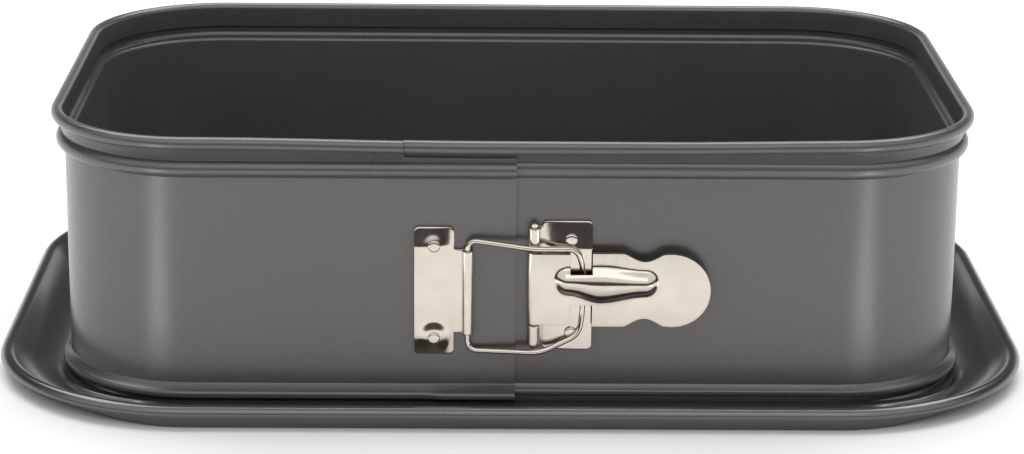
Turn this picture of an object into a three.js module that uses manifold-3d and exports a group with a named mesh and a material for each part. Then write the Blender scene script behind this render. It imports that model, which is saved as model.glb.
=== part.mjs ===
// Rectangular springform pan: a sheet-steel ring that clamps round the raised floor of a wide drip tray.
// Millimetres, +Z up. The origin is on the table under the middle of the tray, and the latch faces -Y.
import * as THREE from 'three';
import { mergeVertices } from 'three/addons/utils/BufferGeometryUtils.js';
import Module from 'manifold-3d';

const wasm = await Module();
wasm.setup();

// Ring: overall size over the rolled rim
const RIM_LENGTH = 280;
const RIM_DEPTH = 180;
const RIM_HEIGHT = 83.2;
const WALL_CORNER_RADIUS = 40;
const BAND_SHEET = 0.6;

// Ring profile, from the rolled rim down to the foot
const CURL_RADIUS = 1.8;
const CURL_SWEEP = 280;
const NECK_STEP = 0.8;
const RIDGE_DROP = 6.1;
const RIDGE_HEIGHT = 6.0;
const RIDGE_REACH = 2.5;
const BEAD_HEIGHT = 4.2;
const BEAD_REACH = 2.0;
const FOOT_HEIGHT = 2.5;

// Lap of the two ring ends at the front
const LAP_EDGE = 0.5;
const LAP_LENGTH = 33;
const LAP_CLEARANCE = 0.3;
const LAP_BULGE_SHARE = 0.6;
const FLEX_GAP = 0.3;

// Tray
const TRAY_SHEET = 0.8;
const TRAY_MARGIN = 17.9;
const TRAY_RIM_HEIGHT = 6.8;
const TRAY_LIP_RADIUS = 2.4;
const TRAY_SKIRT_INSET = 2.4;
const TRAY_SKIRT_LIFT = 0.4;
const TRAY_CORNER_TUCK = 3.6;
const TRAY_CORNER_LIFT = 0.8;
const TRAY_SLOPE = 45;
const FLOOR_HEIGHT = 4.6;
const LEDGE_REACH = 2.3;
const LEDGE_CORNER_REACH = 4.2;
const SEAT_CLEARANCE = 0.3;
const STEP_FILLET = 0.7;

// Latch hardware
const LATCH_HEIGHT = 37.7;
const HARDWARE_SHEET = 0.8;
const WIRE_RADIUS = 0.85;
const WIRE_CLEARANCE = 0.15;
const PLATE_SEAT_GAP = 0.2;
const PIN_AXIS = 5.9;
const PIN_RADIUS = 1.05;
const PIN_CLEARANCE = 0.15;
const PIN_PROUD = 0.5;
const KNUCKLE_GAP = 0.35;

// Keeper plate on the outer ring end
const KEEPER_AXIS = -13.65;
const KEEPER_WIDTH = 11.7;
const KEEPER_HEIGHT = 39.4;
const KEEPER_OFFSET = 4.1;
const KEEPER_DROP = 1.4;
const KEEPER_ROLL_HEIGHT = 26.2;
const PLATE_CORNER = 1.4;

// Hinge plate on the inner ring end
const HINGE_PLATE_REACH = 17.2;
const HINGE_PLATE_HEIGHT = 39.4;
const HINGE_PLATE_RISE = 0.4;
const HINGE_KNUCKLE_INSET = 0.8;

// Rivets
const RIVET_HEAD_RADIUS = 1.8;
const RIVET_HEAD_HEIGHT = 0.8;
const RIVET_SHANK_RADIUS = 1.2;
const RIVET_HOLE_CLEARANCE = 0.12;
const KEEPER_RIVET_EDGE = 5.5;
const HINGE_RIVET_EDGE = 5.4;
const HINGE_RIVET_REACH = 10.9;

// Lever, measured from the hinge pin
const LEVER_LENGTH = 52.0;
const LEVER_PLATE_HEIGHT = 22.2;
const LEVER_PLATE_LENGTH = 10.6;
const LEVER_NECK_HEIGHT = 9.6;
const NOTCH_LENGTH = 6.6;
const WING_HEIGHT = 22.9;
const WING_LENGTH = 9.2;
const WAIST_HEIGHT = 17.8;
const THUMB_RADIUS = 11.4;
const KEEL_DOME = 10.2;
const KEEL_TIP = 32.6;
const KEEL_WIDTH = 10.8;
const KEEL_TIP_WIDTH = 7.2;
const KEEL_RISE = 2.2;
const KEEL_LIFT = 1.7;
const THUMB_LIFT = 1.2;

// Wire bail, measured from the hinge pin and the latch's mid height
const BAIL_NOSE = 14.5;
const BAIL_NOSE_LIFT = 0.1;
const BAIL_NOSE_HEIGHT = 12.5;
const BAIL_HEIGHT = 34.2;
const BAIL_CORNER = 3.2;
const BAIL_OVER_KNUCKLE = 0.55;

// Facets
const CORNER_STEPS = 8;
const ROUND_SIDES = 20;
const WIRE_SIDES = 8;
const BEND_STEPS = 5;

// Derived places: the wall's outer face, the lap step and the latch's depths outward from that face
const wallX = RIM_LENGTH / 2 - (NECK_STEP + 2 * CURL_RADIUS - BAND_SHEET);
const wallY = RIM_DEPTH / 2 - (NECK_STEP + 2 * CURL_RADIUS - BAND_SHEET);
const cornerX = wallX - WALL_CORNER_RADIUS;
const cornerY = wallY - WALL_CORNER_RADIUS;
const lapStep = BAND_SHEET + LAP_CLEARANCE;
const lapEnd = LAP_EDGE - LAP_LENGTH;
const knuckleRadius = PIN_RADIUS + PIN_CLEARANCE + HARDWARE_SHEET;
const rollRadius = WIRE_RADIUS + WIRE_CLEARANCE + HARDWARE_SHEET;
const pinDepth = PLATE_SEAT_GAP - lapStep + knuckleRadius;
const rollDepth = PLATE_SEAT_GAP + rollRadius;
const leverBottom = LATCH_HEIGHT - LEVER_PLATE_HEIGHT / 2;
const leverTop = LATCH_HEIGHT + LEVER_PLATE_HEIGHT / 2;
const keeperMid = LATCH_HEIGHT - KEEPER_DROP;
const hingeMid = LATCH_HEIGHT + HINGE_PLATE_RISE;

const finishes = {
  coated: { color: 0x4a4947, roughness: 0.45, metalness: 0.6 },
  tray: { color: 0x474645, roughness: 0.45, metalness: 0.6 },
  nickel: { color: 0xd9d2c6, roughness: 0.18, metalness: 1.0 },
};

const part = new THREE.Group();

function place(name, geometry, finish) {
  const mesh = new THREE.Mesh(geometry, new THREE.MeshStandardMaterial(finishes[finish]));
  mesh.name = name;
  part.add(mesh);
}

// Solids for cutting and joining

function toSolid(geometry) {
  const bare = geometry.clone();
  for (const key of Object.keys(bare.attributes)) {
    if (key !== 'position') {
      bare.deleteAttribute(key);
    }
  }
  const merged = mergeVertices(bare, 1e-4);
  return new wasm.Manifold(new wasm.Mesh({
    numProp: 3,
    vertProperties: new Float32Array(merged.attributes.position.array),
    triVerts: new Uint32Array(merged.index.array),
  }));
}

function toGeometry(solid) {
  const mesh = solid.getMesh();
  const geometry = new THREE.BufferGeometry();
  geometry.setAttribute('position', new THREE.BufferAttribute(new Float32Array(mesh.vertProperties), 3));
  geometry.setIndex(new THREE.BufferAttribute(new Uint32Array(mesh.triVerts), 1));
  return geometry;
}

function joined(first, ...others) {
  return toGeometry(others.reduce((solid, next) => solid.add(toSolid(next)), toSolid(first)));
}

function cut(body, ...tools) {
  return toGeometry(tools.reduce((solid, tool) => solid.subtract(toSolid(tool)), toSolid(body)));
}

function common(first, second) {
  return toGeometry(toSolid(first).intersect(toSolid(second)));
}

function meshOf(points, triangles) {
  const geometry = new THREE.BufferGeometry();
  geometry.setAttribute('position', new THREE.Float32BufferAttribute(points, 3));
  geometry.setIndex(triangles);
  return geometry;
}

// Sheet profiles: a line of [reach, height] points down the middle of the sheet, thickened to both sides

function arcPoints(centre, radius, fromDegrees, sweepDegrees, steps) {
  const points = [];
  for (let i = 0; i <= steps; i += 1) {
    const angle = THREE.MathUtils.degToRad(fromDegrees + (sweepDegrees * i) / steps);
    points.push([centre[0] + radius * Math.cos(angle), centre[1] + radius * Math.sin(angle)]);
  }
  return points;
}

// A bulge between two points that stands out by the given rise at its middle
function bulgePoints(low, high, rise, steps) {
  const chord = Math.hypot(high[0] - low[0], high[1] - low[1]);
  const radius = (chord * chord / 4 + rise * rise) / (2 * rise);
  const along = [(high[0] - low[0]) / chord, (high[1] - low[1]) / chord];
  const outward = [along[1], -along[0]];
  const middle = [(low[0] + high[0]) / 2, (low[1] + high[1]) / 2];
  const centre = [0, 1].map((k) => middle[k] + outward[k] * (rise - radius));
  const half = Math.asin(Math.min(1, chord / 2 / radius));
  const opening = rise > radius ? Math.PI - half : half;
  const points = [];
  for (let i = 0; i <= steps; i += 1) {
    const angle = opening * (2 * i / steps - 1);
    points.push([0, 1].map((k) => centre[k]
      + radius * (outward[k] * Math.cos(angle) + along[k] * Math.sin(angle))));
  }
  return points;
}

function sheetSides(middle, thickness) {
  const sides = [[], []];
  middle.forEach((point, i) => {
    const before = middle[Math.max(i - 1, 0)];
    const after = middle[Math.min(i + 1, middle.length - 1)];
    const turns = [[before, point], [point, after]]
      .map(([a, b]) => [b[0] - a[0], b[1] - a[1]])
      .filter(([x, y]) => Math.hypot(x, y) > 1e-9)
      .map(([x, y]) => [y / Math.hypot(x, y), -x / Math.hypot(x, y)]);
    const sum = turns.reduce((total, n) => [total[0] + n[0], total[1] + n[1]], [0, 0]);
    const length = Math.hypot(...sum);
    const normal = [sum[0] / length, sum[1] / length];
    const mitre = thickness / 2 / (normal[0] * turns[0][0] + normal[1] * turns[0][1]);
    sides[0].push([point[0] + normal[0] * mitre, point[1] + normal[1] * mitre]);
    sides[1].push([point[0] - normal[0] * mitre, point[1] - normal[1] * mitre]);
  });
  return sides;
}

// Plan paths: points on the wall's outer face with their outward direction, counter-clockwise from above.
// The corner share grows from none at a corner's ends to one at its middle.

function cornerStations(centreX, centreY, radius, fromDegrees) {
  const stations = [];
  for (let i = 0; i <= CORNER_STEPS; i += 1) {
    const angle = THREE.MathUtils.degToRad(fromDegrees + (90 * i) / CORNER_STEPS);
    const out = [Math.cos(angle), Math.sin(angle)];
    const corner = Math.sin((Math.PI * i) / CORNER_STEPS) ** 2;
    stations.push({ x: centreX + radius * out[0], y: centreY + radius * out[1], out, corner });
  }
  return stations;
}

// Sweeps a closed outline of [reach, height] points, counter-clockwise, along the stations. A station's lap
// share draws its outline over towards the lapped one.
function sweepBand(stations) {
  const points = [];
  const triangles = [];
  const count = plainOutline.length;
  stations.forEach(({ x, y, out, lap = 0 }) => plainOutline.forEach(([reach, height], j) => {
    const drawn = reach + lap * (lappedOutline[j][0] - reach);
    const raised = height + lap * (lappedOutline[j][1] - height);
    points.push(x + out[0] * drawn, y + out[1] * drawn, raised);
  }));
  for (let i = 0; i < stations.length - 1; i += 1) {
    for (let j = 0; j < count; j += 1) {
      const a = i * count + j;
      const b = i * count + ((j + 1) % count);
      triangles.push(a, a + count, b + count, a, b + count, b);
    }
  }
  const last = (stations.length - 1) * count;
  const flat = plainOutline.map(([reach, height]) => new THREE.Vector2(reach, height));
  THREE.ShapeUtils.triangulateShape(flat, []).forEach(([a, b, c]) => {
    triangles.push(a, b, c, last + a, last + c, last + b);
  });
  return meshOf(points, triangles);
}

// Sweeps an open outline round a closed loop, and closes both of its inner ends with flat sheets. A
// station's corner share draws its outline over towards the corner one.
function sweepDish(outline, cornerOutline, stations) {
  const points = [];
  const triangles = [];
  const count = outline.length;
  const rounds = stations.length;
  stations.forEach(({ x, y, out, corner }) => outline.forEach(([reach, height], j) => {
    const drawn = reach + corner * (cornerOutline[j][0] - reach);
    const raised = height + corner * (cornerOutline[j][1] - height);
    points.push(x + out[0] * drawn, y + out[1] * drawn, raised);
  }));
  for (let i = 0; i < rounds; i += 1) {
    const next = (i + 1) % rounds;
    for (let j = 0; j < count - 1; j += 1) {
      triangles.push(i * count + j, next * count + j, next * count + j + 1);
      triangles.push(i * count + j, next * count + j + 1, i * count + j + 1);
    }
  }
  const loop = (j) => stations.map(({ x, y, out }) => new THREE.Vector2(
    x + out[0] * outline[j][0],
    y + out[1] * outline[j][0],
  ));
  THREE.ShapeUtils.triangulateShape(loop(0), []).forEach(([a, b, c]) => {
    triangles.push(a * count, c * count, b * count);
  });
  const top = count - 1;
  THREE.ShapeUtils.triangulateShape(loop(top), []).forEach(([a, b, c]) => {
    triangles.push(a * count + top, b * count + top, c * count + top);
  });
  return meshOf(points, triangles);
}

// Ring

function bandMiddle(inset, bulgeShare) {
  const wallMiddle = -BAND_SHEET / 2 - inset;
  const neckMiddle = wallMiddle + NECK_STEP;
  const curlMiddle = CURL_RADIUS - BAND_SHEET / 2;
  const curlHeight = RIM_HEIGHT - CURL_RADIUS;
  const ridgeTop = RIM_HEIGHT - RIDGE_DROP;
  const foot = [wallMiddle, FOOT_HEIGHT + inset];
  const beadTop = [wallMiddle, FOOT_HEIGHT + BEAD_HEIGHT - inset];
  const ridgeFoot = [wallMiddle, ridgeTop - RIDGE_HEIGHT + inset];
  const ridgeHead = [neckMiddle, ridgeTop - inset];
  const curl = arcPoints([neckMiddle + curlMiddle, curlHeight], curlMiddle, 180, -CURL_SWEEP, 10);
  return [
    ...bulgePoints(foot, beadTop, BEAD_REACH * bulgeShare, 6),
    ...bulgePoints(ridgeFoot, ridgeHead, (RIDGE_REACH - NECK_STEP / 2) * bulgeShare, 6),
    ...curl,
  ];
}

function bandOutline(inset, bulgeShare) {
  const [outer, inner] = sheetSides(bandMiddle(inset, bulgeShare), BAND_SHEET);
  return [...outer, ...inner.reverse()];
}

const plainOutline = bandOutline(0, 1);
const bandFoot = Math.min(...plainOutline.map(([, height]) => height));
const lappedOutline = bandOutline(lapStep, LAP_BULGE_SHARE);
const frontLeft = cornerStations(-cornerX, -cornerY, WALL_CORNER_RADIUS, 180);
const rearLeft = cornerStations(-cornerX, cornerY, WALL_CORNER_RADIUS, 90);
const rearRight = cornerStations(cornerX, cornerY, WALL_CORNER_RADIUS, 0);
const frontRight = cornerStations(cornerX, -cornerY, WALL_CORNER_RADIUS, 270);
const frontLap = frontRight.map((station, i) => ({ ...station, lap: 1 - i / CORNER_STEPS }));
const facingFront = [0, -1];
const facingRear = [0, 1];

const flexEdge = cornerX - FLEX_GAP;
const backPath = [
  { x: flexEdge, y: wallY, out: facingRear },
  { x: -flexEdge, y: wallY, out: facingRear },
];
const leftPath = [...rearLeft, ...frontLeft, { x: LAP_EDGE, y: -wallY, out: facingFront }];
const rightPath = [{ x: lapEnd, y: -wallY, out: facingFront, lap: 1 }, ...frontLap, ...rearRight];

// The outer end's curl is trimmed away along the lap, so that it lies under the inner end's curl
function lapTrim() {
  const curlFoot = RIM_HEIGHT - 2 * CURL_RADIUS - LAP_CLEARANCE;
  const long = LAP_LENGTH + LAP_CLEARANCE + 1;
  const tall = RIM_HEIGHT - curlFoot + 1;
  const deep = 8 * CURL_RADIUS;
  const box = new THREE.BoxGeometry(long, deep, tall);
  box.translate(lapEnd - LAP_CLEARANCE + long / 2, -wallY, curlFoot + tall / 2);
  return box;
}

// Rivets: where each one's axis meets the front, and how far its wall stands out

const keeperCentre = KEEPER_AXIS - KEEPER_OFFSET - KEEPER_WIDTH / 2;
const keeperRise = KEEPER_HEIGHT / 2 - KEEPER_RIVET_EDGE;
const hingeRivetX = PIN_AXIS + HINGE_RIVET_REACH;
const hingeRise = HINGE_PLATE_HEIGHT / 2 - HINGE_RIVET_EDGE;
const rivets = [
  { name: 'keeper_rivet_upper', x: keeperCentre, z: keeperMid + keeperRise, wall: 0 },
  { name: 'keeper_rivet_lower', x: keeperCentre, z: keeperMid - keeperRise, wall: 0 },
  { name: 'hinge_rivet_upper', x: hingeRivetX, z: hingeMid + hingeRise, wall: -lapStep },
  { name: 'hinge_rivet_lower', x: hingeRivetX, z: hingeMid - hingeRise, wall: -lapStep },
];

function rivetHole({ x, z }) {
  const hole = new THREE.CylinderGeometry(
    RIVET_SHANK_RADIUS + RIVET_HOLE_CLEARANCE,
    RIVET_SHANK_RADIUS + RIVET_HOLE_CLEARANCE,
    6 * HARDWARE_SHEET + 2 * lapStep,
    ROUND_SIDES,
  );
  hole.translate(x, -wallY, z);
  return hole;
}

function rivet({ x, z, wall }) {
  const head = PLATE_SEAT_GAP + HARDWARE_SHEET + RIVET_HOLE_CLEARANCE;
  const crown = arcPoints([0, 0], 1, 0, 90, 4).map(([a, b]) => new THREE.Vector2(
    a * RIVET_HEAD_RADIUS,
    head + b * RIVET_HEAD_HEIGHT,
  ));
  const profile = [
    new THREE.Vector2(0, -BAND_SHEET),
    new THREE.Vector2(RIVET_SHANK_RADIUS, -BAND_SHEET),
    new THREE.Vector2(RIVET_SHANK_RADIUS, head),
    ...crown.slice(0, -1),
    new THREE.Vector2(0, head + RIVET_HEAD_HEIGHT),
  ];
  const turned = new THREE.LatheGeometry(profile, ROUND_SIDES);
  turned.rotateX(Math.PI);
  turned.translate(x, -wallY - wall, z);
  return turned;
}

// Latch sheet metal

// A flat plate standing on the front wall, from its [across, height] outline and its depth outward
function frontPlate(shape, depth, thickness) {
  const plate = new THREE.ExtrudeGeometry(shape, { depth: thickness, bevelEnabled: false, curveSegments: 4 });
  plate.rotateX(Math.PI / 2);
  plate.translate(0, -wallY - depth, 0);
  return plate;
}

function roundedPlate(left, right, bottom, top, corner) {
  const shape = new THREE.Shape();
  shape.moveTo(left + corner, bottom);
  shape.lineTo(right - corner, bottom);
  shape.absarc(right - corner, bottom + corner, corner, -Math.PI / 2, 0);
  shape.lineTo(right, top - corner);
  shape.absarc(right - corner, top - corner, corner, 0, Math.PI / 2);
  shape.lineTo(left + corner, top);
  shape.absarc(left + corner, top - corner, corner, Math.PI / 2, Math.PI);
  shape.lineTo(left, bottom + corner);
  shape.absarc(left + corner, bottom + corner, corner, Math.PI, Math.PI * 1.5);
  return shape;
}

// A sheet edge rolled into a barrel about a vertical axis, open by the part of the turn that is left
function rolledEdge(x, depth, radius, fromDegrees, sweepDegrees, bottom, top) {
  const steps = 16;
  const shape = new THREE.Shape([
    ...arcPoints([x, depth], radius, fromDegrees, sweepDegrees, steps),
    ...arcPoints([x, depth], radius - HARDWARE_SHEET, fromDegrees + sweepDegrees, -sweepDegrees, steps),
  ].map(([a, b]) => new THREE.Vector2(a, -wallY - b)));
  const roll = new THREE.ExtrudeGeometry(shape, { depth: top - bottom, bevelEnabled: false });
  roll.translate(0, 0, bottom);
  return roll;
}

function keeperPlate() {
  const right = KEEPER_AXIS - KEEPER_OFFSET;
  const half = KEEPER_HEIGHT / 2;
  const plate = frontPlate(
    roundedPlate(right - KEEPER_WIDTH, right, keeperMid - half, keeperMid + half, PLATE_CORNER),
    PLATE_SEAT_GAP,
    HARDWARE_SHEET,
  );
  const low = keeperMid - KEEPER_ROLL_HEIGHT / 2;
  const high = keeperMid + KEEPER_ROLL_HEIGHT / 2;
  const tongue = new THREE.Shape([
    new THREE.Vector2(right - PLATE_CORNER, low),
    new THREE.Vector2(KEEPER_AXIS, low),
    new THREE.Vector2(KEEPER_AXIS, high),
    new THREE.Vector2(right - PLATE_CORNER, high),
  ]);
  const web = frontPlate(tongue, PLATE_SEAT_GAP, HARDWARE_SHEET);
  const roll = rolledEdge(KEEPER_AXIS, rollDepth, rollRadius, 250, 310, low, high);
  return cut(joined(plate, web, roll), ...rivets.slice(0, 2).map(rivetHole));
}

function hingePlate() {
  const right = PIN_AXIS + HINGE_PLATE_REACH;
  const clear = PIN_AXIS + knuckleRadius + KNUCKLE_GAP;
  const bottom = hingeMid - HINGE_PLATE_HEIGHT / 2;
  const top = hingeMid + HINGE_PLATE_HEIGHT / 2;
  const depth = PLATE_SEAT_GAP - lapStep;
  const plate = frontPlate(roundedPlate(clear, right, bottom, top, PLATE_CORNER), depth, HARDWARE_SHEET);
  const pieces = [];
  [
    [bottom + HINGE_KNUCKLE_INSET, leverBottom - KNUCKLE_GAP],
    [leverTop + KNUCKLE_GAP, top - HINGE_KNUCKLE_INSET],
  ].forEach(([low, high]) => {
    const tab = new THREE.Shape([
      new THREE.Vector2(PIN_AXIS, low),
      new THREE.Vector2(clear + PLATE_CORNER, low),
      new THREE.Vector2(clear + PLATE_CORNER, high),
      new THREE.Vector2(PIN_AXIS, high),
    ]);
    pieces.push(frontPlate(tab, depth, HARDWARE_SHEET));
    pieces.push(rolledEdge(PIN_AXIS, pinDepth, knuckleRadius, 290, -310, low, high));
  });
  return cut(joined(plate, ...pieces), ...rivets.slice(2).map(rivetHole));
}

function hingePin() {
  const bottom = hingeMid - HINGE_PLATE_HEIGHT / 2 + HINGE_KNUCKLE_INSET - PIN_PROUD;
  const top = hingeMid + HINGE_PLATE_HEIGHT / 2 - HINGE_KNUCKLE_INSET + PIN_PROUD;
  const chamfer = PIN_PROUD / 2;
  const turned = new THREE.LatheGeometry([
    new THREE.Vector2(0, bottom),
    new THREE.Vector2(PIN_RADIUS - chamfer, bottom),
    new THREE.Vector2(PIN_RADIUS, bottom + chamfer),
    new THREE.Vector2(PIN_RADIUS, top - chamfer),
    new THREE.Vector2(PIN_RADIUS - chamfer, top),
    new THREE.Vector2(0, top),
  ], ROUND_SIDES);
  turned.rotateX(Math.PI / 2);
  turned.translate(PIN_AXIS, -wallY - pinDepth, 0);
  return turned;
}

// Lever: a pressed sheet with a keel over its neck, notched for the wire and rolled round the pin

function leverShape() {
  const plate = LEVER_PLATE_HEIGHT / 2;
  const neck = LEVER_NECK_HEIGHT / 2;
  const wing = WING_HEIGHT / 2;
  const waist = WAIST_HEIGHT / 2;
  const notchEnd = LEVER_PLATE_LENGTH + NOTCH_LENGTH;
  const wingEnd = notchEnd + WING_LENGTH;
  const thumb = LEVER_LENGTH - THUMB_RADIUS;
  const shoulder = thumb - THUMB_RADIUS * 0.16;
  const waistAt = (wingEnd + shoulder) / 2;
  const upper = [[0, plate], [LEVER_PLATE_LENGTH, plate], [LEVER_PLATE_LENGTH, neck], [notchEnd, neck],
    [notchEnd, wing], [wingEnd, wing]];
  const hollow = new THREE.QuadraticBezierCurve(
    new THREE.Vector2(wingEnd, wing),
    new THREE.Vector2(waistAt, 2 * waist - wing),
    new THREE.Vector2(shoulder, THUMB_RADIUS * 0.985),
  ).getPoints(6).slice(1).map((p) => [p.x, p.y]);
  const round = arcPoints([thumb, 0], THUMB_RADIUS, 84, -84, 8);
  const half = [...upper, ...hollow, ...round];
  const lower = half.slice(0, -1).reverse().map(([a, b]) => [a, -b]);
  return [...lower.reverse(), ...half.reverse()];
}

// Height of the pressed sheet above its flat: a keel that narrows from its dome to its tip, a little above
// the lever's middle line, and a thumb end that lifts
function pressedRise(along, across) {
  const bend = Math.max(0, (along - (LEVER_LENGTH - 2 * THUMB_RADIUS)) / (2 * THUMB_RADIUS));
  const lift = THUMB_LIFT * bend * bend;
  const onSpine = THREE.MathUtils.clamp(along, KEEL_DOME, KEEL_TIP);
  const share = (onSpine - KEEL_DOME) / (KEEL_TIP - KEEL_DOME);
  const halfWidth = THREE.MathUtils.lerp(KEEL_WIDTH, KEEL_TIP_WIDTH, share) / 2;
  const away = Math.hypot(along - onSpine, across - KEEL_LIFT) / halfWidth;
  return away < 1 ? lift + KEEL_RISE * Math.cos((Math.PI / 2) * away) ** 2 : lift;
}

function pressedSheet() {
  const rows = 33;
  const sideSteps = [1, 0.72, 0.5, 0.4, 0.3, 0.2, 0.1];
  const edge = WING_HEIGHT / 2 + 1;
  const lines = [...sideSteps.map((s) => -s * edge), 0, ...[...sideSteps].reverse().map((s) => s * edge)];
  const points = [];
  const triangles = [];
  const count = lines.length;
  const start = HARDWARE_SHEET / 2;
  const stride = (LEVER_LENGTH + 1 - start) / (rows - 1);
  const faces = [knuckleRadius - HARDWARE_SHEET, knuckleRadius];
  faces.forEach((base) => {
    for (let i = 0; i < rows; i += 1) {
      lines.forEach((across) => {
        const along = start + i * stride;
        const depth = pinDepth + base + pressedRise(along, across);
        points.push(PIN_AXIS + along, -wallY - depth, LATCH_HEIGHT + across);
      });
    }
  });
  const layer = rows * count;
  const quad = (a, b, c, d) => triangles.push(a, b, c, a, c, d);
  for (let i = 0; i < rows - 1; i += 1) {
    for (let j = 0; j < count - 1; j += 1) {
      const a = i * count + j;
      quad(a, a + 1, a + count + 1, a + count);
      quad(layer + a, layer + a + count, layer + a + count + 1, layer + a + 1);
    }
  }
  for (let i = 0; i < rows - 1; i += 1) {
    const low = i * count;
    const high = low + count - 1;
    quad(low, low + count, layer + low + count, layer + low);
    quad(high, layer + high, layer + high + count, high + count);
  }
  for (let j = 0; j < count - 1; j += 1) {
    const last = (rows - 1) * count + j;
    quad(j, layer + j, layer + j + 1, j + 1);
    quad(last, last + 1, layer + last + 1, layer + last);
  }
  return meshOf(points, triangles);
}

function lever() {
  const blank = new THREE.Shape(leverShape().map(([along, across]) => new THREE.Vector2(
    PIN_AXIS + along,
    LATCH_HEIGHT + across,
  )));
  const punch = frontPlate(blank, pinDepth, knuckleRadius + KEEL_RISE + THUMB_LIFT + HARDWARE_SHEET);
  const sheet = common(pressedSheet(), punch);
  const knuckle = rolledEdge(PIN_AXIS, pinDepth, knuckleRadius, 70, 300, leverBottom, leverTop);
  return joined(sheet, knuckle);
}

// Wire bail: a closed loop with one round bend at each corner

function bailLoop() {
  const nose = PIN_AXIS + BAIL_NOSE;
  const noseDepth = pinDepth + BAIL_NOSE_LIFT;
  const overDepth = pinDepth + knuckleRadius + WIRE_RADIUS + BAIL_OVER_KNUCKLE;
  const half = BAIL_HEIGHT / 2;
  const noseHalf = BAIL_NOSE_HEIGHT / 2;
  const middle = keeperMid - 0.9;
  const at = (x, depth, z) => new THREE.Vector3(x, -wallY - depth, z);
  const corners = [
    at(KEEPER_AXIS, rollDepth, middle + half),
    at(PIN_AXIS, overDepth, LATCH_HEIGHT + half - 4.3),
    at(nose - 2.0, noseDepth + 1.2, LATCH_HEIGHT + half - 4.8),
    at(nose, noseDepth, LATCH_HEIGHT + noseHalf),
    at(nose, noseDepth, LATCH_HEIGHT - noseHalf),
    at(nose - 1.0, noseDepth + 1.0, LATCH_HEIGHT - half + 2.9),
    at(PIN_AXIS + 1.8, overDepth, middle - half + 0.1),
    at(KEEPER_AXIS, rollDepth, middle - half),
  ];
  const loop = [];
  corners.forEach((corner, i) => {
    const before = corners[(i + corners.length - 1) % corners.length];
    const after = corners[(i + 1) % corners.length];
    const reach = Math.min(BAIL_CORNER, corner.distanceTo(before) / 2.2, corner.distanceTo(after) / 2.2);
    const enter = corner.clone().add(before.clone().sub(corner).setLength(reach));
    const leave = corner.clone().add(after.clone().sub(corner).setLength(reach));
    loop.push(...new THREE.QuadraticBezierCurve3(enter, corner, leave).getPoints(BEND_STEPS));
  });
  return loop;
}

function wireBail() {
  const loop = bailLoop();
  const count = loop.length;
  const points = [];
  const triangles = [];
  const outward = new THREE.Vector3(0, -1, 0);
  loop.forEach((point, i) => {
    const along = loop[(i + 1) % count].clone().sub(loop[(i + count - 1) % count]).normalize();
    const across = outward.clone().cross(along).normalize();
    const up = along.clone().cross(across);
    for (let k = 0; k < WIRE_SIDES; k += 1) {
      const angle = (2 * Math.PI * (k + 0.5)) / WIRE_SIDES;
      const spoke = across.clone().multiplyScalar(Math.cos(angle)).addScaledVector(up, Math.sin(angle));
      points.push(...point.clone().addScaledVector(spoke, WIRE_RADIUS));
    }
  });
  for (let i = 0; i < count; i += 1) {
    const next = (i + 1) % count;
    for (let k = 0; k < WIRE_SIDES; k += 1) {
      const a = i * WIRE_SIDES + k;
      const b = i * WIRE_SIDES + ((k + 1) % WIRE_SIDES);
      const c = next * WIRE_SIDES + k;
      const d = next * WIRE_SIDES + ((k + 1) % WIRE_SIDES);
      triangles.push(a, b, d, a, d, c);
    }
  }
  return meshOf(points, triangles);
}

// Tray: the floor, the ledge that the ring's foot sits over, a drip channel and a rolled lip. Round the
// corners the ledge reaches out further than the ring, and the skirt under the lip is tucked in.

function trayMiddle(corner) {
  const half = TRAY_SHEET / 2;
  const floor = FLOOR_HEIGHT - half;
  const ledge = bandFoot - SEAT_CLEARANCE - half;
  const stepFace = -BAND_SHEET - lapStep - SEAT_CLEARANCE - half;
  const lip = TRAY_LIP_RADIUS - half;
  const lipX = RIM_LENGTH / 2 - wallX + TRAY_MARGIN - TRAY_LIP_RADIUS;
  const lipZ = TRAY_RIM_HEIGHT - TRAY_LIP_RADIUS;
  const slope = THREE.MathUtils.degToRad(TRAY_SLOPE);
  const slopeTop = [lipX - lip * Math.sin(slope), lipZ + lip * Math.cos(slope)];
  const slopeFoot = slopeTop[0] - (slopeTop[1] - half) / Math.tan(slope);
  const bend = 2 * STEP_FILLET;
  const ledgeEdge = LEDGE_REACH + corner * LEDGE_CORNER_REACH;
  const skirtInset = TRAY_SKIRT_INSET + corner * TRAY_CORNER_TUCK;
  return [
    [stepFace - WALL_CORNER_RADIUS / 4, floor],
    [stepFace - STEP_FILLET, floor],
    [stepFace, floor - STEP_FILLET],
    [stepFace, ledge],
    [ledgeEdge - STEP_FILLET, ledge],
    [ledgeEdge + STEP_FILLET / 2, half],
    [slopeFoot - bend, half],
    [slopeFoot + bend * Math.cos(slope), half + bend * Math.sin(slope)],
    ...arcPoints([lipX, lipZ], lip, 90 + TRAY_SLOPE, -90 - TRAY_SLOPE, 6),
    [lipX + lip - skirtInset, TRAY_SKIRT_LIFT + corner * TRAY_CORNER_LIFT],
  ];
}

function trayOutline(corner) {
  const [under, over] = sheetSides(trayMiddle(corner), TRAY_SHEET);
  return [...under, ...over.reverse()];
}

function baseTray() {
  const loop = [
    ...cornerStations(cornerX, cornerY, WALL_CORNER_RADIUS, 0),
    ...rearLeft,
    ...frontLeft,
    ...cornerStations(cornerX, -cornerY, WALL_CORNER_RADIUS, 270),
  ];
  return sweepDish(trayOutline(0), trayOutline(1), loop);
}

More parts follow.
